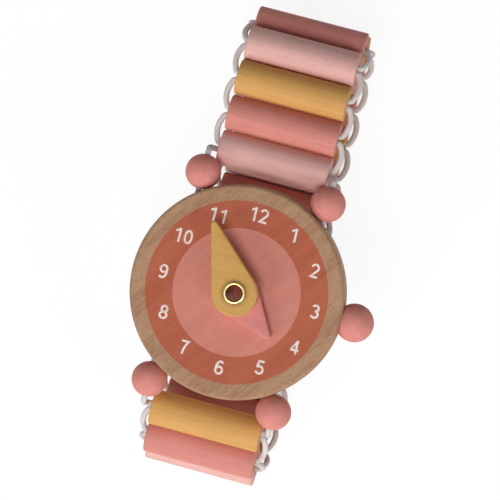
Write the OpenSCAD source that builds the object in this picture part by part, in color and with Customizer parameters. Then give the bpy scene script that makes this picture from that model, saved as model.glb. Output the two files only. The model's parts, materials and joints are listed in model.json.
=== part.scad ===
// Wooden toy wristwatch on an elastic bracelet of round wooden slats.
// The dial faces +Z, 12 o'clock is towards +Y and the crown towards +X.
// The origin is on the eyelet's axis, halfway through the case. The watch lies
// dial up, with the bracelet as a flattened loop under the case.

/* [Case] */
// Diameter of the wooden case
case_d = 36; // [33:0.5:42]
// Thickness of the wooden case
case_t = 6; // [5:0.25:8]
// Rounding of the case's two edges
case_edge_r = 0.6; // [0.3:0.1:1.5]

/* [Hands] */
// Thickness of each hand
hand_t = 1.6; // [1:0.1:2.4]
// Radius of the hands' round ends
hand_end_r = 3.85; // [3:0.05:4.5]
// Radius of the hands' tips
hand_tip_r = 0.55; // [0.3:0.05:0.9]
// Length of the minute hand from the eyelet to its tip
minute_len = 12.5; // [11:0.1:15]
// Length of the hour hand from the eyelet to its tip
hour_len = 9.4; // [7:0.1:11]
// Angle of the minute hand, clockwise from 12 o'clock
minute_angle = 329; // [0:1:359]
// Angle of the hour hand, clockwise from 12 o'clock
hour_angle = 129; // [0:1:359]
// Gap under and over each hand
hand_gap = 0.1; // [0.05:0.05:0.2]
// Radial play of the hands on the eyelet
hand_play = 0.06; // [0.02:0.01:0.1]

/* [Eyelet] */
// Bore of the brass eyelet
eyelet_bore_d = 2.5; // [2:0.1:3]
// Wall of the eyelet's tube
eyelet_wall = 0.25; // [0.2:0.05:0.4]
// Radius of the eyelet's rolled lips
eyelet_lip_r = 0.32; // [0.3:0.02:0.5]
// Radial room round the eyelet in the case
eyelet_room = 0.05; // [0.02:0.01:0.1]

/* [Beads and crown] */
// Diameter of the four lug beads
bead_d = 6; // [5.5:0.25:7]
// Angle of the lug beads from the line between 12 and 6 o'clock
lug_angle = 31; // [29:1:33]
// Depth to which a lug bead sinks into the case's rim
bead_sink = 0.06; // [0.03:0.01:0.2]
// Gap between a lug bead and its dimple in the rim
bead_gap = 0.05; // [0.02:0.01:0.1]
// Diameter of the crown's ball
crown_d = 6.5; // [6:0.25:8]
// Distance from the middle of the crown's ball to its flat seat
crown_flat = 2.35; // [2:0.05:2.6]
// Depth of the seat for the crown in the case's rim
crown_seat = 0.25; // [0.2:0.05:0.6]
// Diameter of the crown's dowel peg
peg_d = 2; // [1.5:0.1:2.4]
// Length of the peg inside the case
peg_in_case = 4; // [3:0.5:6]
// Length of the peg inside the crown
peg_in_crown = 3; // [2:0.25:3.5]
// Room round the peg and past its ends
peg_room = 0.05; // [0.02:0.01:0.1]

/* [Strap] */
// Diameter of a slat
slat_d = 6; // [5.5:0.25:6.5]
// Length of a slat
slat_len = 19; // [17:0.5:20]
// Rounding of a slat's ends
slat_edge_r = 0.3; // [0.2:0.1:1]
// Gap between neighbouring slats, and between the first slats and the beads
slat_gap = 0.1; // [0.1:0.05:0.3]
// Depth of the front run's slats below the middle of the case
front_drop = 3.5; // [3:0.1:4]
// Straight links from the first slat towards the bend past 12 o'clock
front_links = 2; // [2:1:3]
// Links round the bend past 12 o'clock
top_links = 5; // [5:1:5]
// Straight links along the back run
rear_links = 9; // [9:1:10]
// Links round the bend past 6 o'clock
bottom_links = 4; // [4:1:4]

/* [Elastic] */
// Diameter of the elastic cord
cord_d = 1; // [0.8:0.05:1.2]
// Room that a slat's bore has beside its two strands
strand_room = 0.4; // [0.3:0.05:0.6]
// Gap between a strand and the wall of its bore
strand_gap = 0.08; // [0.05:0.01:0.1]
// Room in the lug beads' bores beside the cord
bead_room = 0.6; // [0.4:0.1:0.8]
// Room in the case's two cord holes beside the cord
hole_room = 1; // [0.6:0.1:1.2]
// Gap between a cord loop and the end of a slat
loop_gap = 0.1; // [0.05:0.05:0.3]

/* [Hidden] */
$fn = 64;

wood_colour = [0.78, 0.64, 0.50];
coral_colour = [0.88, 0.54, 0.49];
pale_pink_colour = [0.89, 0.71, 0.68];
mustard_colour = [0.85, 0.65, 0.38];
brass_colour = [0.85, 0.73, 0.40];
elastic_colour = [0.90, 0.87, 0.86];

// Case and hands
case_r = case_d / 2;
dial_z = case_t / 2;
hour_z = dial_z + hand_gap;
minute_z = hour_z + hand_t + hand_gap;
eyelet_top_z = minute_z + hand_t + hand_gap;
eyelet_bore_r = eyelet_bore_d / 2;
eyelet_tube_r = eyelet_bore_r + eyelet_wall;
cut = 1;

// Lug beads: each nests in a shallow dimple in the rim, at the mouth of a cord
// hole that runs straight through the case
bead_r = bead_d / 2;
bead_bore_r = (cord_d + bead_room) / 2;
bead_dist = case_r + bead_r - bead_sink;
bead_x = bead_dist * sin(lug_angle);
bead_y = bead_dist * cos(lug_angle);
hole_r = (cord_d + hole_room) / 2;

// Crown: its flat sits in a round seat cut into the rim
crown_r = crown_d / 2;
crown_flat_r = sqrt(crown_r * crown_r - crown_flat * crown_flat);
crown_seat_x = case_r - crown_seat;
crown_x = crown_seat_x + crown_flat;
crown_seat_room = 0.1;

// Slats: the first slat on each side leans on two lug beads and rolls round the
// line through their middles, and each next slat rolls round its neighbour
pitch = slat_d + slat_gap;
slat_r = slat_d / 2;
slat_bore_r = cord_d + strand_room / 2;
slat_count = front_links + top_links + rear_links + bottom_links + 1;
bead_overhang = max(bead_x - slat_len / 2, 0);
bead_section_r = sqrt(bead_r * bead_r - bead_overhang * bead_overhang);
lug_reach = slat_r + bead_section_r + slat_gap;
lug_lean = asin(front_drop / lug_reach);
first_slat_y = bead_y + lug_reach * cos(lug_lean);

// The bends' phase closes the loop: both runs then end at the lower first slat
bend_step = 360 / (top_links + bottom_links);
bend_gain = sin(bend_step * top_links / 2) / sin(bend_step / 2);
bend_phase = acos((rear_links - front_links - 2 * first_slat_y / pitch) / (2 * bend_gain));
top_start = bend_phase - bend_step * (top_links - 1) / 2;
bottom_start = 360 - bend_phase - bend_step * (bottom_links - 1) / 2;

// Turn of link k, from slat k to slat k + 1: 0 along +Y, 90 straight down
function link_turn(k) =
    k <= front_links ? 0
    : k <= front_links + top_links ? top_start + bend_step * (k - front_links - 1)
    : k <= front_links + top_links + rear_links ? 180
    : bottom_start + bend_step * (k - front_links - top_links - rear_links - 1);

function slat_place(k) =
    k == 1 ? [0, first_slat_y, -front_drop]
    : slat_place(k - 1) + pitch * [0, cos(link_turn(k - 1)), -sin(link_turn(k - 1))];

// Elastic: each link is a ring through two neighbouring slats
cord_r = cord_d / 2;
strand_offset = slat_bore_r - cord_r - strand_gap;
loop_start_x = slat_len / 2 + loop_gap;
loop_corner_turn = 60;
loop_corner_room = 0.1;
loop_corner_r = cord_r + loop_corner_room;
loop_back_r = pitch - 2 * strand_offset - loop_corner_r;

// Elastic between a lug bead and the first slat, seen from the line through the
// beads' middles: it leaves the slat along X and bends back into the bead's bore
lug_out = [0, cos(lug_lean), sin(lug_lean)];
lug_cord_gap = 0.05;
lug_mouth = [loop_start_x, lug_reach - strand_offset, 0];
lug_pole = [bead_x, 0, 0] + (bead_r + lug_cord_gap) * lug_out;
lug_bow = 1.8;
lug_hook = 1.5;
lug_steps = 10;
tube_sides = 10;

function bezier(a, b, c, d, t) =
    pow(1 - t, 3) * a + 3 * t * pow(1 - t, 2) * b + 3 * t * t * (1 - t) * c + pow(t, 3) * d;

lug_half_path = [for (i = [0:lug_steps])
    bezier(lug_mouth, lug_mouth + [lug_bow, 0, 0], lug_pole + lug_hook * lug_out, lug_pole, i / lug_steps)];

// A direction that the lug cord never takes, to set its rings by
lug_side = [1, cos(lug_lean) - sin(lug_lean), cos(lug_lean) + sin(lug_lean)];

// Elastic in the case: straight from the outer end of one bead to that of the other
case_cord_end = bead_y + bead_r - lug_cord_gap;

// A path on both sides of the case, from the points of its right half
function mirrored_path(half) = concat(
    [for (i = [len(half) - 1:-1:0]) [-half[i].x, half[i].y, half[i].z]],
    half);

two_digits = function(k) str(k < 10 ? "0" : "", k);
slat_name = function(k) str("slat_", two_digits(k));
link_name = function(k) str("elastic_link_", two_digits(k));

// A cylinder that runs along X from x0 to x1
module rod_x(r, x0, x1) {
    translate([x0, 0, 0]) rotate([0, 90, 0]) cylinder(r = r, h = x1 - x0);
}

// A cylinder that runs along Y from y0 to y1
module rod_y(r, y0, y1) {
    translate([0, y0, 0]) rotate([-90, 0, 0]) cylinder(r = r, h = y1 - y0);
}

// A round solid about Z with rounded edges
module rounded_disc(r, h, edge_r) {
    rotate_extrude() {
        translate([0, -h / 2]) square([r - edge_r, h]);
        translate([0, edge_r - h / 2]) square([r, h - 2 * edge_r]);
        for (side = [-1, 1]) translate([r - edge_r, side * (h / 2 - edge_r)]) circle(r = edge_r);
    }
}

// A tube that follows the points of a path; side_ref is never along the path
module swept_tube(path, r, side_ref) {
    sides = tube_sides;
    last = len(path) - 1;
    function along(i) = path[min(i + 1, last)] - path[max(i - 1, 0)];
    function unit(v) = v / norm(v);
    rings = [for (i = [0:last])
        let (t = unit(along(i)), u = unit(cross(t, side_ref)), v = cross(t, u))
        for (j = [0:sides - 1]) path[i] + r * (cos(360 * j / sides) * u + sin(360 * j / sides) * v)];
    walls = [for (i = [0:last - 1], j = [0:sides - 1])
        let (a = i * sides + j, b = i * sides + (j + 1) % sides)
        each [[a, b, b + sides], [a, b + sides, a + sides]]];
    ends = [[for (j = [sides - 1:-1:0]) j], [for (j = [0:sides - 1]) last * sides + j]];
    polyhedron(points = rings, faces = concat(walls, ends));
}

module case_disc() {
    color(wood_colour) difference() {
        rounded_disc(case_r, case_t, case_edge_r);
        cylinder(r = eyelet_tube_r + eyelet_room, h = case_t + cut, center = true);
        for (side = [-1, 1]) translate([side * bead_x, 0, 0]) rod_y(hole_r, -case_r, case_r);
        for (side = [-1, 1], upper = [-1, 1])
            translate([side * bead_x, upper * bead_y, 0]) sphere(r = bead_r + bead_gap);
        rod_x(crown_flat_r + crown_seat_room, crown_seat_x, case_r + cut);
        rod_x(peg_d / 2 + peg_room, crown_seat_x - peg_in_case - peg_room, case_r);
    }
}

// Half of a rolled lip: a ring with a flat underside and a rounded top
module eyelet_lip() {
    rotate_extrude() translate([eyelet_bore_r + eyelet_lip_r, 0]) intersection() {
        circle(r = eyelet_lip_r);
        translate([-eyelet_lip_r, 0]) square([2 * eyelet_lip_r, eyelet_lip_r]);
    }
}

module eyelet() {
    color(brass_colour) {
        rotate_extrude() translate([eyelet_bore_r, -dial_z]) square([eyelet_wall, eyelet_top_z + dial_z]);
        translate([0, 0, eyelet_top_z]) eyelet_lip();
        translate([0, 0, -dial_z]) mirror([0, 0, 1]) eyelet_lip();
    }
}

// A teardrop hand that points along +Y from the eyelet
module hand(len) {
    tip_y = len - hand_tip_r;
    lean = acos((hand_end_r - hand_tip_r) / tip_y);
    difference() {
        linear_extrude(hand_t) {
            circle(r = hand_end_r);
            translate([0, tip_y]) circle(r = hand_tip_r);
            polygon([
                hand_end_r * [sin(lean), cos(lean)],
                [0, tip_y] + hand_tip_r * [sin(lean), cos(lean)],
                [0, tip_y] + hand_tip_r * [-sin(lean), cos(lean)],
                hand_end_r * [-sin(lean), cos(lean)]]);
        }
        translate([0, 0, -cut]) cylinder(r = eyelet_tube_r + hand_play, h = hand_t + 2 * cut);
    }
}

module hour_hand() {
    color(coral_colour) translate([0, 0, hour_z]) rotate([0, 0, -hour_angle]) hand(hour_len);
}

module minute_hand() {
    color(mustard_colour) translate([0, 0, minute_z]) rotate([0, 0, -minute_angle]) hand(minute_len);
}

// A lug bead; side is -1 on the left and upper is -1 at the 6 o'clock end
module lug_bead(side, upper) {
    color(coral_colour) mirrored_corner(side, upper) difference() {
        translate([bead_x, bead_y, 0]) sphere(r = bead_r);
        translate([bead_x, 0, 0]) rod_y(bead_bore_r, bead_y - bead_d, bead_y + bead_d);
    }
}

// Mirrors what is drawn for the upper right corner to another corner
module mirrored_corner(side, upper) {
    mirror([side < 0 ? 1 : 0, 0, 0]) mirror([0, upper < 0 ? 1 : 0, 0]) children();
}

// A ball with one flat, which sits on the rim, and a blind hole for the peg
module crown_ball() {
    color(coral_colour) difference() {
        translate([crown_x, 0, 0]) rotate([0, 90, 0]) rotate_extrude() intersection() {
            circle(r = crown_r);
            translate([0, -crown_flat]) square([crown_r, crown_flat + crown_r]);
        }
        rod_x(peg_d / 2 + peg_room, crown_seat_x - cut, crown_seat_x + peg_in_crown + peg_room);
    }
}

module crown_peg() {
    color(wood_colour) rod_x(peg_d / 2, crown_seat_x - peg_in_case, crown_seat_x + peg_in_crown);
}

// The elastic inside the case: through one of its holes and the lug beads at both ends
module elastic_case(side) {
    color(elastic_colour) translate([side * bead_x, 0, 0]) rod_y(cord_r, -case_cord_end, case_cord_end);
}

// The elastic from two lug beads through the first slat
module elastic_lug(upper) {
    color(elastic_colour) mirror([0, upper < 0 ? 1 : 0, 0]) translate([0, bead_y, 0]) rotate([-lug_lean, 0, 0])
        swept_tube(mirrored_path(lug_half_path), cord_r, lug_side);
}

module slat(k) {
    paint = [mustard_colour, pale_pink_colour, coral_colour][k % 3];
    color(paint) translate(slat_place(k)) rotate([0, 90, 0]) difference() {
        rounded_disc(slat_r, slat_len, slat_edge_r);
        cylinder(r = slat_bore_r, h = slat_len + cut, center = true);
    }
}

// One bend of the cord: an arc about a centre, from one angle to another
module cord_arc(centre, r, from, to) {
    translate(centre) rotate([0, 0, from]) rotate_extrude(angle = to - from) translate([r, 0]) circle(r = cord_r);
}

// The elastic ring that joins slat k to slat k + 1: a strand in each, a loop at each end
module elastic_link(k) {
    back_x = loop_start_x + (loop_corner_r - loop_back_r) * sin(loop_corner_turn);
    back_turn = 90 - loop_corner_turn;
    near_y = strand_offset + loop_corner_r;
    far_y = pitch - near_y;
    color(elastic_colour) translate(slat_place(k)) rotate([-link_turn(k), 0, 0]) {
        for (y = [strand_offset, pitch - strand_offset]) translate([0, y, 0]) rod_x(cord_r, -loop_start_x, loop_start_x);
        for (side = [0, 1]) mirror([side, 0, 0]) {
            cord_arc([loop_start_x, near_y, 0], loop_corner_r, -90, -back_turn);
            cord_arc([back_x, pitch / 2, 0], loop_back_r, -back_turn, back_turn);
            cord_arc([loop_start_x, far_y, 0], loop_corner_r, back_turn, 90);
        }
    }
}

case_disc();
eyelet();
hour_hand();
minute_hand();
lug_bead(-1, 1);  // lug_bead_upper_left
lug_bead(1, 1);  // lug_bead_upper_right
lug_bead(-1, -1);  // lug_bead_lower_left
lug_bead(1, -1);  // lug_bead_lower_right
crown_ball();
crown_peg();
elastic_case(-1);  // elastic_case_left
elastic_case(1);  // elastic_case_right
elastic_lug(1);  // elastic_lug_upper
elastic_lug(-1);  // elastic_lug_lower
for (k = [1:slat_count]) slat(k);
for (k = [1:slat_count - 1]) elastic_link(k);
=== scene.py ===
"""Looks of a wooden toy wristwatch on an elastic bracelet of round slats."""
import json
import math
import bpy
import bmesh
from mathutils import Matrix, Vector


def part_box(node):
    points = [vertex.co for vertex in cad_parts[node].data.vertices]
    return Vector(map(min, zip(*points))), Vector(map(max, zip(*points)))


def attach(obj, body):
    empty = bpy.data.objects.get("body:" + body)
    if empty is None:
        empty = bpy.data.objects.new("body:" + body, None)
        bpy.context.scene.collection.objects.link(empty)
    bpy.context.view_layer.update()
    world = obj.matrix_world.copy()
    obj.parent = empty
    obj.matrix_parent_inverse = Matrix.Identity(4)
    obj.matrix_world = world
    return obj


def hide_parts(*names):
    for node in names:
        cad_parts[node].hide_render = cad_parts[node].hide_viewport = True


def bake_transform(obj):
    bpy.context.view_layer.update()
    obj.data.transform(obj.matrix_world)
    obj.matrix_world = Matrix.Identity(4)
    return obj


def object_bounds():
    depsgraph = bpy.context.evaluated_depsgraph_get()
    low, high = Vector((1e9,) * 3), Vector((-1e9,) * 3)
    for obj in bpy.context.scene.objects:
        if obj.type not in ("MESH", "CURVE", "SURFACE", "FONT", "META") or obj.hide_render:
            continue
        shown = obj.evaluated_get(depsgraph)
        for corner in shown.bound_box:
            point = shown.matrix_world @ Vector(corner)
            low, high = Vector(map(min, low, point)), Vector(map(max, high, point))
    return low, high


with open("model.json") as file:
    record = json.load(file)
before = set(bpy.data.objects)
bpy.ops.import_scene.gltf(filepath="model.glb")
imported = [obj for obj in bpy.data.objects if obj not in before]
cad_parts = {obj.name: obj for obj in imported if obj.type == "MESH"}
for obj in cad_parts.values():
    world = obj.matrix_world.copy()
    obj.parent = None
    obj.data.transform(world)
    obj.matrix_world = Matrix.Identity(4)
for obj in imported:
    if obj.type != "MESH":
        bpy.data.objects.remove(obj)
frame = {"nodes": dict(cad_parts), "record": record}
cad_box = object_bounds()
record = frame["record"]
MM = 0.001

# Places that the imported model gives
dial_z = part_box("case_disc")[1][2]
slat_names = sorted(n for n in frame["nodes"] if n.startswith("slat_"))
link_names = sorted(n for n in frame["nodes"] if n.startswith("elastic_link_"))


def middle(node):
    low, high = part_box(node)
    return (Vector(low) + Vector(high)) / 2


def body_of(node):
    return next(b for b, nodes in record["behaviour"]["bodies"].items() if node in nodes)


class Shader:
    """A material under construction: short calls that add and wire nodes."""

    def __init__(self, name):
        self.material = bpy.data.materials.new(name)
        self.material.use_nodes = True
        self.tree = self.material.node_tree
        self.principled = self.tree.nodes["Principled BSDF"]

    def node(self, kind, inputs=(), **settings):
        made = self.tree.nodes.new(kind)
        for key, value in settings.items():
            setattr(made, key, value)
        for key, value in dict(inputs).items():
            self.feed(made.inputs[key], value)
        return made

    def feed(self, socket, value):
        if isinstance(value, bpy.types.NodeSocket):
            self.tree.links.new(value, socket)
        else:
            socket.default_value = value

    def math(self, operation, a, b=None, c=None):
        made = self.node("ShaderNodeMath", operation=operation)
        for i, value in enumerate((a, b, c)):
            if value is not None:
                self.feed(made.inputs[i], value)
        return made.outputs[0]

    def mix(self, fac, a, b):
        made = self.node("ShaderNodeMix", data_type="RGBA")
        self.feed(made.inputs[0], fac)
        self.feed(made.inputs[6], a)
        self.feed(made.inputs[7], b)
        return made.outputs[2]

    def position(self):
        """Metres in the part's own frame, which go with the piece when it moves."""
        return self.node("ShaderNodeTexCoord").outputs["Object"]

    def split(self, vector):
        return self.node("ShaderNodeSeparateXYZ", {0: vector}).outputs

    def radius(self, vector):
        """Distance from the eyelet's axis."""
        xyz = self.split(vector)
        flat = self.node("ShaderNodeCombineXYZ", {0: xyz[0], 1: xyz[1]}).outputs[0]
        return self.node("ShaderNodeVectorMath", {0: flat}, operation="LENGTH").outputs["Value"]

    def stretched(self, vector, scale, turn=None):
        """The vector turned about Z by some degrees, if any, and then scaled along each axis."""
        if turn is not None:
            inputs = {"Vector": vector, "Rotation": (0.0, 0.0, math.radians(turn))}
            vector = self.node("ShaderNodeMapping", inputs).outputs[0]
        return self.node("ShaderNodeMapping", {"Vector": vector, "Scale": scale}).outputs[0]

    def noise(self, vector, scale=1.0, detail=3.0, rough=0.55, distortion=0.0):
        inputs = {"Vector": vector, "Scale": scale, "Detail": detail, "Roughness": rough}
        inputs["Distortion"] = distortion
        return self.node("ShaderNodeTexNoise", inputs).outputs[0]

    def ramp(self, value, low, high, to_low=0.0, to_high=1.0):
        """A smooth step from one level to another while the value goes from low to high."""
        inputs = {"Value": value, "From Min": low, "From Max": high, "To Min": to_low, "To Max": to_high}
        made = self.node("ShaderNodeMapRange", inputs, interpolation_type="SMOOTHSTEP", clamp=True)
        return made.outputs[0]

    def bump(self, height, distance, strength=1.0):
        made = self.node("ShaderNodeBump", {"Height": height, "Distance": distance, "Strength": strength})
        self.feed(self.principled.inputs["Normal"], made.outputs[0])

    def set(self, **inputs):
        for key, value in inputs.items():
            self.feed(self.principled.inputs[key.replace("_", " ")], value)


def colour(red, green, blue):
    """A screen colour of 0 to 255 as the linear colour that the shader needs."""
    def linear(v):
        v /= 255
        return v / 12.92 if v <= 0.04045 else ((v + 0.055) / 1.055) ** 2.4
    return (linear(red), linear(green), linear(blue), 1.0)


def shade(tone, factor):
    return tuple(min(c * factor, 1.0) for c in tone[:3]) + (1.0,)


def painted_wood(name, tone, grain_axis, bare=colour(196, 158, 118), worn_from=None, eyelet_shade=False):
    """Thin matt paint on fine-grained wood: streaks, pores and brush marks follow the grain. With
    eyelet_shade, a painted shade darkens the wood in a ring round the eyelet.
    """
    s = Shader(name)
    pos = s.position()
    fine = [4200.0] * 3
    coarse = [900.0] * 3
    fine[grain_axis] = 620.0
    coarse[grain_axis] = 70.0
    streaks = s.noise(s.stretched(pos, fine), 1.0, 4.0, 0.65)
    bands = s.noise(s.stretched(pos, coarse), 1.0, 2.0, 0.5)
    blotch = s.noise(pos, 240.0, 2.0, 0.5)
    pores = s.ramp(streaks, 0.30, 0.46)
    base = s.mix(s.ramp(bands, 0.3, 0.7), shade(tone, 0.95), shade(tone, 1.05))
    base = s.mix(s.ramp(blotch, 0.35, 0.65, 0.0, 0.25), base, shade(tone, 1.08))
    base = s.mix(s.math("MULTIPLY", s.math("SUBTRACT", 1.0, pores), 0.42), base, shade(tone, 0.68))
    if worn_from is not None:
        reach = s.math("ABSOLUTE", s.split(pos)[grain_axis])
        near_end = s.ramp(reach, worn_from, worn_from + 0.5 * MM)
        worn = s.math("MULTIPLY", near_end, s.ramp(blotch, 0.42, 0.62))
        base = s.mix(s.math("MULTIPLY", worn, 0.45), base, bare)
    # Painted shade: the wood darkens in a ring from 2.7 mm in to 1.9 mm from the eyelet's axis, where the
    # eyelet's shade falls on the hand
    if eyelet_shade:
        painted_eyelet_shade = s.ramp(s.radius(pos), 2.7 * MM, 1.9 * MM, 0.0, 0.55)
        base = s.mix(painted_eyelet_shade, base, shade(tone, 0.5))
    height = s.math("ADD", s.math("MULTIPLY", streaks, 0.7), s.math("MULTIPLY", bands, 0.6))
    s.bump(height, 0.04 * MM, 0.5)
    rough = s.ramp(streaks, 0.3, 0.7, 0.74, 0.6)
    s.set(Base_Color=base, Roughness=rough)
    s.principled.inputs["Specular IOR Level"].default_value = 0.28
    return s.material


def case_wood():
    """Bare wood with a printed dial: an orange ring round a pink middle, with the grain showing through."""
    s = Shader("case_wood")
    pos = s.position()
    streaks = s.noise(s.stretched(pos, (3800.0, 380.0, 3800.0), grain_turn), 1.0, 4.0, 0.65)
    bands = s.noise(s.stretched(pos, (420.0, 42.0, 420.0), grain_turn), 1.0, 3.0, 0.55, 0.5)
    flecks = s.noise(s.stretched(pos, (4200.0, 1500.0, 4200.0), grain_turn), 1.0, 3.0, 0.6)
    wood = s.mix(s.ramp(bands, 0.32, 0.68), colour(166, 122, 93), colour(184, 142, 108))
    wood = s.mix(s.ramp(streaks, 0.4, 0.62, 0.0, 0.6), wood, colour(192, 154, 120))
    wood = s.mix(s.ramp(flecks, 0.53, 0.66, 0.0, 0.5), wood, colour(140, 100, 74))
    ragged = s.math("MULTIPLY_ADD", s.math("SUBTRACT", streaks, 0.5), 0.12 * MM, s.radius(pos))
    on_top = s.math("GREATER_THAN", s.split(pos)[2], dial_z - 0.05 * MM)
    soft = 0.04 * MM
    ring = s.math("MULTIPLY", s.ramp(ragged, ring_r + soft, ring_r - soft), on_top)
    inner = s.math("MULTIPLY", s.ramp(ragged, inner_r + soft, inner_r - soft), on_top)
    tint = s.ramp(bands, 0.3, 0.7)
    orange = s.mix(tint, colour(180, 90, 60), colour(188, 97, 66))
    pink = s.mix(tint, colour(209, 131, 115), colour(216, 138, 122))
    pores = s.math("SUBTRACT", 1.0, s.ramp(streaks, 0.32, 0.46))
    orange = s.mix(s.math("MULTIPLY", pores, 0.35), orange, colour(154, 73, 51))
    pink = s.mix(s.math("MULTIPLY", pores, 0.3), pink, colour(184, 108, 95))
    base = s.mix(s.math("MULTIPLY", ring, 0.97), wood, orange)
    base = s.mix(s.math("MULTIPLY", inner, 0.98), base, pink)
    height = s.math("ADD", s.math("MULTIPLY", streaks, 0.8), s.math("MULTIPLY", flecks, 0.3))
    s.bump(height, 0.05 * MM, 0.45)
    s.set(Base_Color=base, Roughness=s.ramp(streaks, 0.3, 0.7, 0.66, 0.52))
    s.principled.inputs["Specular IOR Level"].default_value = 0.3
    return s.material


def brass():
    """Bright rolled brass, with painted shade on the lip's outer edge and down the bore."""
    s = Shader("rolled_brass")
    pos = s.position()
    cloud = s.noise(pos, 900.0, 3.0, 0.6)
    scratch = s.noise(s.stretched(pos, (4200.0, 4200.0, 500.0)), 1.0, 3.0, 0.6)
    base = s.mix(s.ramp(cloud, 0.3, 0.7), colour(220, 188, 114), colour(244, 224, 166))
    away = s.radius(pos)
    # Painted shade: darker where the lip's outer edge curls down to the hand
    base = s.mix(s.ramp(away, 1.64 * MM, 1.86 * MM, 0.0, 0.8), base, colour(138, 106, 56))
    # Painted shade: dark down the bore
    base = s.mix(s.ramp(away, 1.56 * MM, 1.4 * MM, 0.0, 0.85), base, colour(96, 62, 34))
    s.set(Base_Color=base, Roughness=s.ramp(scratch, 0.3, 0.7, 0.16, 0.32))
    s.principled.inputs["Metallic"].default_value = 1.0
    s.bump(scratch, 0.01 * MM, 0.4)
    return s.material


def braid():
    """Covered elastic: two sets of fine yarns that cross round the cord."""
    s = Shader("elastic_braid")
    uv = s.split(s.node("ShaderNodeUVMap", uv_map="along").outputs[0])
    lay = s.math("MULTIPLY", uv[0], math.tau / (0.8 * MM))
    around = s.math("MULTIPLY", uv[1], 8 * math.tau)
    one = s.math("SINE", s.math("ADD", lay, around))
    two = s.math("SINE", s.math("SUBTRACT", lay, around))
    yarn = s.ramp(s.math("MAXIMUM", one, two), -0.4, 1.0)
    dirt = s.noise(s.position(), 420.0, 3.0, 0.6)
    base = s.mix(yarn, colour(214, 205, 203), colour(233, 226, 224))
    base = s.mix(s.ramp(dirt, 0.45, 0.75, 0.0, 0.3), base, colour(214, 200, 194))
    s.bump(yarn, 0.02 * MM, 0.5)
    s.set(Base_Color=base, Roughness=s.ramp(dirt, 0.3, 0.7, 0.55, 0.75))
    s.principled.inputs["Sheen Weight"].default_value = 0.3
    s.principled.inputs["Sheen Roughness"].default_value = 0.4
    return s.material


def number_paint():
    """White print that is thin where the grain shows through."""
    s = Shader("number_paint")
    pos = s.position()
    thin = s.noise(s.stretched(pos, (3000.0, 500.0, 3000.0), grain_turn), 1.0, 3.0, 0.6)
    base = s.mix(s.ramp(thin, 0.34, 0.5), colour(226, 190, 180), colour(247, 232, 226))
    s.set(Base_Color=base, Roughness=s.ramp(thin, 0.3, 0.7, 0.65, 0.5))
    s.bump(thin, 0.02 * MM, 0.4)
    return s.material


def mesh_object(name, mesh, *materials):
    made = bpy.data.objects.new(name, mesh)
    bpy.context.scene.collection.objects.link(made)
    for m in materials:
        mesh.materials.append(m)
    return made


def tube(name, path, radius, closed=False, sides=14):
    """A round cord along a path, with a map of metres along it and turns around it."""
    count = len(path)
    tangents = []
    for i in range(count):
        after = path[(i + 1) % count] if closed or i + 1 < count else path[i]
        before = path[i - 1] if closed or i > 0 else path[i]
        tangents.append((after - before).normalized())
    side = tangents[0].orthogonal().normalized()
    frames = []
    for i, t in enumerate(tangents):
        if i:
            side = tangents[i - 1].rotation_difference(t) @ side
        side = (side - t * side.dot(t)).normalized()
        frames.append((side.copy(), t.cross(side)))
    lengths = [0.0]
    for i in range(1, count + 1):
        lengths.append(lengths[-1] + (path[i % count] - path[i - 1]).length)
    bm = bmesh.new()
    rings = []
    turn_angles = [math.tau * j / sides for j in range(sides)]
    for p, (a, b) in zip(path, frames):
        rings.append([bm.verts.new(p + radius * (math.cos(t) * a + math.sin(t) * b)) for t in turn_angles])
    layer = bm.loops.layers.uv.new("along")
    slip = 0
    if closed:
        first, last = rings[0], rings[-1]

        def seam(k):
            return sum((last[j].co - first[(j + k) % sides].co).length for j in range(sides))

        slip = min(range(sides), key=seam)
    for i in range(count if closed else count - 1):
        shift = slip if closed and i == count - 1 else 0
        here, there = rings[i], rings[(i + 1) % count]
        for j in range(sides):
            k = (j + 1) % sides
            face = bm.faces.new((here[j], here[k], there[(k + shift) % sides], there[(j + shift) % sides]))
            face.smooth = True
            left, right_side = j / sides, (j + 1) / sides
            corners = ((left, i), (right_side, i), (right_side, i + 1), (left, i + 1))
            for loop, (v, u) in zip(face.loops, corners):
                loop[layer].uv = (lengths[u], v)
    if not closed:
        bm.faces.new(list(reversed(rings[0])))
        bm.faces.new(rings[-1])
    bmesh.ops.recalc_face_normals(bm, faces=bm.faces)
    mesh = bpy.data.meshes.new(name)
    bm.to_mesh(mesh)
    bm.free()
    return mesh_object(name, mesh, elastic)


def arc(centre, radius, start, stop, steps):
    """Points of an arc in the X-Y plane, angles in degrees."""
    angles = [math.radians(start + (stop - start) * i / steps) for i in range(steps + 1)]
    middle_point = Vector((centre[0], centre[1], 0.0))
    return [middle_point + radius * Vector((math.cos(a), math.sin(a), 0.0)) for a in angles]


def bezier(a, b, c, d, steps):
    return [a * (1 - t) ** 3 + b * 3 * t * (1 - t) ** 2 + c * 3 * t * t * (1 - t) + d * t ** 3
            for t in (i / steps for i in range(steps + 1))]


def hand_outline(end_r, tip_r, tip_y, inset, count):
    """A teardrop round the eyelet: the outline of two circles and their tangents, moved in by an inset."""
    big, small = end_r - inset, tip_r - inset
    lean = math.acos((end_r - tip_r) / tip_y)
    points = []
    for i in range(count):
        a = math.tau * i / count
        d = Vector((math.sin(a), math.cos(a)))
        away = abs((a + math.pi) % math.tau - math.pi)
        tangent = Vector((math.sin(lean), math.cos(lean)))
        reach = big
        if away < lean:
            cosine = math.sin(away) * tangent.x + math.cos(away) * tangent.y
            reach = big / cosine
            limit = Vector((0, tip_y)) + small * tangent
            if away < math.atan2(limit.x, limit.y):
                along = tip_y * math.cos(away)
                reach = along + math.sqrt(max(small ** 2 - (tip_y * math.sin(away)) ** 2, 0.0))
        points.append(d * reach)
    return points


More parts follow.
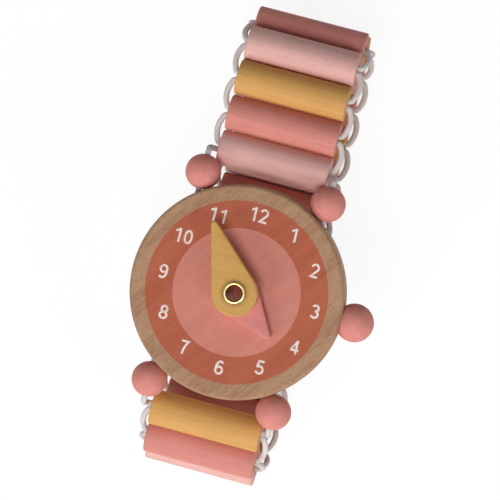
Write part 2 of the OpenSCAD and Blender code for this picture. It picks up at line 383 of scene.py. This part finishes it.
def hand_piece(name, node, end_r, tip_r, length, clock_deg, bore_r, edge_r, material):
    """A teardrop hand with softly rounded edges, in the place of its plain solid."""
    low, high = (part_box(node)[i][2] for i in (0, 1))
    tip_y = length - tip_r
    count = 192
    steps = 5
    layers = []
    for i in range(steps + 1):
        a = math.pi / 2 * i / steps
        layers.append((edge_r * (1 - math.sin(a)), high - edge_r * (1 - math.cos(a))))
    layers += [(inset, low + high - z) for inset, z in reversed(layers)]
    bm = bmesh.new()
    rings = []
    bore_chamfer = 0.12 * MM
    bore = [(bore_r, low + bore_chamfer), (bore_r, high - bore_chamfer), (bore_r + bore_chamfer, high)]
    bore.insert(0, (bore_r + bore_chamfer, low))
    turn = Matrix.Rotation(-math.radians(clock_deg), 2)
    angles = [math.tau * i / count for i in range(count)]
    for r, z in bore:
        circle = [turn @ Vector((r * math.sin(a), r * math.cos(a))) for a in angles]
        rings.append([bm.verts.new((*p, z)) for p in circle])
    for inset, z in layers:
        outline = hand_outline(end_r, tip_r, tip_y, inset, count)
        rings.append([bm.verts.new((*(turn @ p), z)) for p in outline])
    for here, there in zip(rings, rings[1:] + rings[:1]):
        for i in range(count):
            k = (i + 1) % count
            bm.faces.new((here[i], here[k], there[k], there[i]))
    bmesh.ops.recalc_face_normals(bm, faces=bm.faces)
    for f in bm.faces:
        f.smooth = True
    for e in bm.edges:
        e.smooth = e.calc_face_angle(0.0) < math.radians(35)
    mesh = bpy.data.meshes.new(name)
    bm.to_mesh(mesh)
    bm.free()
    made = mesh_object(name, mesh, material)
    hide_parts(node)
    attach(made, body_of(node))
    return made


def oval(x, y, rx, ry, start=0, stop=360, steps=28):
    """Points of an oval stroke, angles in degrees, one point fewer where it closes."""
    count = steps if abs(stop - start) == 360 else steps + 1
    angles = [math.radians(start + (stop - start) * i / steps) for i in range(count)]
    return [(x + rx * math.cos(a), y + ry * math.sin(a)) for a in angles]


def strokes(digit):
    """The pen strokes of a plain digit in a box 0.56 wide and 1 high: (points, closed)."""
    six = [(oval(0.28, 0.31, 0.205, 0.245), True), (oval(0.31, 0.50, 0.235, 0.435, 48, 190), False)]
    return {
        0: [(oval(0.28, 0.5, 0.205, 0.435), True)],
        1: [([(0.1, 0.76), (0.36, 0.93)], False), ([(0.36, 1.0), (0.36, 0.0)], False)],
        2: [(oval(0.28, 0.69, 0.2, 0.245, 168, -38) + [(0.085, 0.065), (0.51, 0.065)], False)],
        3: [(oval(0.27, 0.73, 0.18, 0.205, 158, -90), False),
            (oval(0.27, 0.295, 0.205, 0.23, 90, -158), False)],
        4: [([(0.385, 0.0), (0.385, 1.0)], False),
            ([(0.385, 0.96), (0.07, 0.3)], False),
            ([(0.02, 0.28), (0.55, 0.28)], False)],
        5: [([(0.49, 0.935), (0.165, 0.935), (0.105, 0.5)], False),
            (oval(0.27, 0.325, 0.21, 0.26, 143, -155), False)],
        6: six,
        7: [([(0.05, 0.935), (0.5, 0.935), (0.37, 0.7), (0.27, 0.4), (0.225, 0.0)], False)],
        8: [(oval(0.28, 0.735, 0.175, 0.2), True), (oval(0.28, 0.29, 0.205, 0.225), True)],
        9: [([(0.56 - x, 1.0 - y) for x, y in points], closed) for points, closed in six],
    }[digit]


def ribbon(bm, points, width, z, closed):
    """A flat painted stroke just above the dial, with mitred corners."""
    count = len(points)
    rails = []
    for i, p in enumerate(points):
        after = points[(i + 1) % count] if closed or i + 1 < count else None
        before = points[i - 1] if closed or i > 0 else None
        out = (after - p).normalized() if after else (p - before).normalized()
        into = (p - before).normalized() if before else out
        tangent = (out + into).normalized()
        spread = width / 2 / max(tangent.dot(out), 0.45)
        normal = Vector((-tangent.y, tangent.x)) * spread
        rails.append([bm.verts.new((q.x, q.y, z)) for q in (p + normal, p - normal)])
    for i in range(count if closed else count - 1):
        here, there = rails[i], rails[(i + 1) % count]
        bm.faces.new((here[0], here[1], there[1], there[0]))


# Camera at the photograph's angle: almost straight down, the watch rolled clockwise
camera_data = bpy.data.cameras.new("camera")
camera_data.lens = 249.9
camera_data.sensor_width = 36.0
camera_data.clip_start = 0.01
camera = bpy.data.objects.new("camera", camera_data)
bpy.context.scene.collection.objects.link(camera)
aim = Vector((0.1176, 7.2658, 0.0)) * MM
distance = 579.2 * MM
tilt_x, tilt_y = math.radians(5.407), math.radians(2.901)
roll = math.radians(-14.697)
look = Vector((math.tan(tilt_x), math.tan(tilt_y), 1.0)).normalized()
up = Vector((math.sin(roll), math.cos(roll), 0.0))
up = (up - look * up.dot(look)).normalized()
right = up.cross(look)
facing = Matrix((right, up, look)).transposed().to_4x4()
camera.matrix_world = Matrix.Translation(aim + look * distance) @ facing
bpy.context.scene.camera = camera

# Materials
grain_turn = 35
ring_r = 15.32 * MM
inner_r = 10.73 * MM
wood = case_wood()
metal = brass()
elastic = braid()
numbers = number_paint()
half_slat = (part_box("slat_01")[1][0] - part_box("slat_01")[0][0]) / 2
worn_end = half_slat - 0.55 * MM
paints = {
    "coral_paint": painted_wood("coral_slat", colour(220, 141, 130), 0, worn_from=worn_end),
    "pale_pink_paint": painted_wood("pale_pink_slat", colour(233, 181, 173), 0, worn_from=worn_end),
    "mustard_paint": painted_wood("mustard_slat", colour(220, 166, 96), 0, worn_from=worn_end),
}
bead_paint = painted_wood("coral_bead", colour(224, 143, 132), 2)
# The mustard hand gets a painted shade round its eyelet
mustard_hand_paint = painted_wood("mustard_hand", colour(214, 166, 92), 0, eyelet_shade=True)
pink_hand_paint = painted_wood("pink_hand", colour(220, 136, 130), 0)
peg_wood = painted_wood("peg_wood", colour(196, 160, 122), 0)


def dress(node, material):
    slots = frame["nodes"][node].data.materials
    if len(slots):
        slots[0] = material
    else:
        slots.append(material)


slot_of = {p["node"]: p["material_slot"] for p in record["subparts"]}
for name in slat_names:
    dress(name, paints[slot_of[name]])
for end in ("upper", "lower"):
    for side in ("left", "right"):
        dress(f"lug_bead_{end}_{side}", bead_paint)
dress("crown_ball", bead_paint)
dress("case_disc", wood)
dress("eyelet", metal)
dress("crown_peg", peg_wood)

# Hands
eyelet_r = 1.5 * MM
hand_bore_r = eyelet_r + 0.06 * MM
hand_end_r = 3.85 * MM
hand_tip_r = 0.55 * MM
hand_edge_r = 0.3 * MM
hour = hand_piece("hour_hand_piece", "hour_hand", hand_end_r, hand_tip_r, 9.4 * MM, 129,
                  hand_bore_r, hand_edge_r, pink_hand_paint)
minute = hand_piece("minute_hand_piece", "minute_hand", hand_end_r, hand_tip_r, 12.5 * MM, 329,
                    hand_bore_r, hand_edge_r, mustard_hand_paint)

# Printed numbers, upright on the dial, each drawn with one pen width; the print sits a little off centre
number_r = 13.1 * MM
number_h = 2.36 * MM
number_w = 1.17 * number_h
number_shift = Vector((0.39, 0.3)) * MM
pen = 0.155
advance = 0.62
digit_w = 0.56
number_bm = bmesh.new()
for n in range(1, 13):
    a = math.tau * n / 12
    centre = Vector((math.sin(a), math.cos(a))) * number_r + number_shift
    digits = [strokes(int(d)) for d in str(n)]
    wide = digit_w + advance * (len(digits) - 1)
    for i, digit in enumerate(digits):
        for layer, (points, closed) in enumerate(digit):
            start_x = advance * i - wide / 2
            place = [centre + Vector((number_w * (x + start_x), number_h * (y - 0.5))) for x, y in points]
            ribbon(number_bm, place, pen * number_h, dial_z + (0.01 + 0.006 * layer) * MM, closed)
number_mesh = bpy.data.meshes.new("dial_numbers")
number_bm.to_mesh(number_mesh)
number_bm.free()
dial_numbers = mesh_object("dial_numbers", number_mesh, numbers)
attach(dial_numbers, "watch_case")

# Elastic: one ring through each pair of neighbouring slats
cord_r = 0.5 * MM
pitch = (middle("slat_02") - middle("slat_01")).length
strand = 0.62 * MM
out_x = half_slat + 0.1 * MM
corner_r = 0.6 * MM
corner_turn = 60
back_r = pitch - 2 * strand - corner_r
for i, name in enumerate(link_names, 1):
    here, there = middle(f"slat_{i:02d}"), middle(f"slat_{i + 1:02d}")
    back_x = out_x + (corner_r - back_r) * math.sin(math.radians(corner_turn))
    rest = 90 - corner_turn
    loop = arc((out_x, strand + corner_r), corner_r, -90, -rest, 6)
    loop += arc((back_x, pitch / 2), back_r, -rest, rest, 12)[1:]
    loop += arc((out_x, pitch - strand - corner_r), corner_r, rest, 90, 6)[1:]
    run = 8
    far = [Vector((out_x - 2 * out_x * j / run, pitch - strand, 0.0)) for j in range(1, run)]
    back = [Vector((-p.x, p.y, p.z)) for p in reversed(loop)]
    near = [Vector((-out_x + 2 * out_x * j / run, strand, 0.0)) for j in range(1, run)]
    path = loop + far + back + near
    y = (there - here).normalized()
    z = Vector((1, 0, 0)).cross(y)
    to_place = Matrix((Vector((1, 0, 0)), y, z)).transposed().to_4x4()
    to_place.translation = here
    ring = tube(f"cord_link_{i:02d}", [to_place @ p for p in path], cord_r, closed=True)
    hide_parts(name)
    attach(ring, body_of(name))

# Elastic from the lug beads to the first and last slat, and straight through the case
pole_out = 3.05 * MM
bow_out = 1.8 * MM
hook_out = 1.5 * MM
for end, side, slat in (("upper", 1, "slat_01"), ("lower", -1, "slat_21")):
    bead = middle(f"lug_bead_{end}_right")
    first = middle(slat)
    out = Vector((0.0, side, 0.0))
    across = Vector((0, first.y - bead.y, first.z - bead.z))
    reach = across.length
    across.normalize()
    hinge = Vector((0, bead.y, bead.z))
    mouth = hinge + Vector((out_x, 0, 0)) + across * (reach - strand)
    pole = bead + out * pole_out
    bow = bezier(mouth, mouth + Vector((bow_out, 0, 0)), pole + out * hook_out, pole, 14)
    inside = [pole - out * d * MM for d in (0.6, 1.2, 1.8)]
    half = bow + inside
    mirrored = [Vector((-p.x, p.y, p.z)) for p in reversed(half)]
    run = 8
    through = [Vector((-mouth.x + 2 * mouth.x * j / run, mouth.y, mouth.z)) for j in range(1, run)]
    lace = tube(f"cord_lug_{end}", mirrored + through + half, cord_r)
    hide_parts(f"elastic_lug_{end}")
    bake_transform(lace)
for side in ("left", "right"):
    low, high = middle(f"lug_bead_lower_{side}"), middle(f"lug_bead_upper_{side}")
    steps = 12
    low_end, high_end = low + Vector((0, -1.0, 0)) * MM, high + Vector((0, 1.0, 0)) * MM
    core = tube(f"cord_case_{side}", [low_end.lerp(high_end, j / steps) for j in range(steps + 1)], cord_r)
    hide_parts(f"elastic_case_{side}")
    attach(core, "watch_case")

# Floor, background and light
floor_z = cad_box[0][2]
floor_mesh = bpy.data.meshes.new("floor")
span = 3.0
floor_corners = [(span * x, span * y, floor_z) for x, y in ((-1, -1), (1, -1), (1, 1), (-1, 1))]
floor_mesh.from_pydata(floor_corners, [], [(0, 1, 2, 3)])
paper = Shader("floor_paper")
tooth = paper.noise(paper.position(), 700.0, 2.0, 0.5)
paper.set(Base_Color=paper.mix(tooth, colour(243, 243, 243), colour(248, 248, 248)))
paper.principled.inputs["Roughness"].default_value = 0.9
rays = paper.node("ShaderNodeLightPath").outputs
seen = paper.math("MAXIMUM", rays["Is Camera Ray"], rays["Is Glossy Ray"])
seen = paper.math("MAXIMUM", seen, rays["Is Transmission Ray"])
# Painted contact shade: ambient occlusion turns the floor's glow off where the object is near, so the floor
# shows darker there besides its real shadow
cover = paper.node("ShaderNodeAmbientOcclusion", {"Distance": 12 * MM}, samples=8).outputs["AO"]
glow_outside_ao_shade = paper.ramp(cover, 0.12, 0.4)
glow = paper.node("ShaderNodeEmission", {"Color": (1, 1, 1, 1), "Strength": 1.05})
share = paper.math("MULTIPLY", paper.math("MULTIPLY", seen, 0.86), glow_outside_ao_shade)
both = paper.node("ShaderNodeMixShader", {0: share, 1: paper.principled.outputs[0], 2: glow.outputs[0]})
paper.tree.links.new(both.outputs[0], paper.tree.nodes["Material Output"].inputs[0])
floor = mesh_object("floor", floor_mesh, paper.material)
# slat_11 stays level and lowest at every pose, so the floor goes with it when the loop opens
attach(floor, body_of("slat_11"))

world = bpy.data.worlds.new("studio")
bpy.context.scene.world = world
world.use_nodes = True
nodes, links = world.node_tree.nodes, world.node_tree.links
sky = nodes["Background"]
sky.inputs[0].default_value = (1.0, 1.0, 1.0, 1.0)
sky.inputs[1].default_value = 0.06
white = nodes.new("ShaderNodeBackground")
white.inputs[1].default_value = 1.0
path_rays = nodes.new("ShaderNodeLightPath")
highest = path_rays.outputs["Is Camera Ray"]
for name in ("Is Glossy Ray", "Is Transmission Ray"):
    step = nodes.new("ShaderNodeMath")
    step.operation = "MAXIMUM"
    links.new(highest, step.inputs[0])
    links.new(path_rays.outputs[name], step.inputs[1])
    highest = step.outputs[0]
choose = nodes.new("ShaderNodeMixShader")
links.new(highest, choose.inputs[0])
links.new(sky.outputs[0], choose.inputs[1])
links.new(white.outputs[0], choose.inputs[2])
links.new(choose.outputs[0], nodes["World Output"].inputs[0])


def softbox(name, direction, distance, size, power):
    data = bpy.data.lights.new(name, "AREA")
    data.shape = "DISK"
    data.size = size
    data.energy = power
    lamp = bpy.data.objects.new(name, data)
    bpy.context.scene.collection.objects.link(lamp)
    away = direction.normalized()
    lamp.location = aim + away * distance
    lamp.rotation_euler = away.to_track_quat("Z", "Y").to_euler()


flat_up = Vector((up.x, up.y, 0)).normalized()
flat_right = Vector((right.x, right.y, 0)).normalized()
softbox("key", -flat_up * 0.42 - flat_right * 0.1 + Vector((0, 0, 1.0)), 2.4, 1.4, 33.0)
softbox("window", -flat_right * 0.7 - flat_up * 0.7 + Vector((0, 0, 0.55)), 2.4, 1.1, 16.5)
softbox("far_window", flat_right * 0.7 - flat_up * 0.7 + Vector((0, 0, 0.55)), 2.4, 1.1, 14.5)

bpy.context.scene.view_settings.view_transform = "Standard"
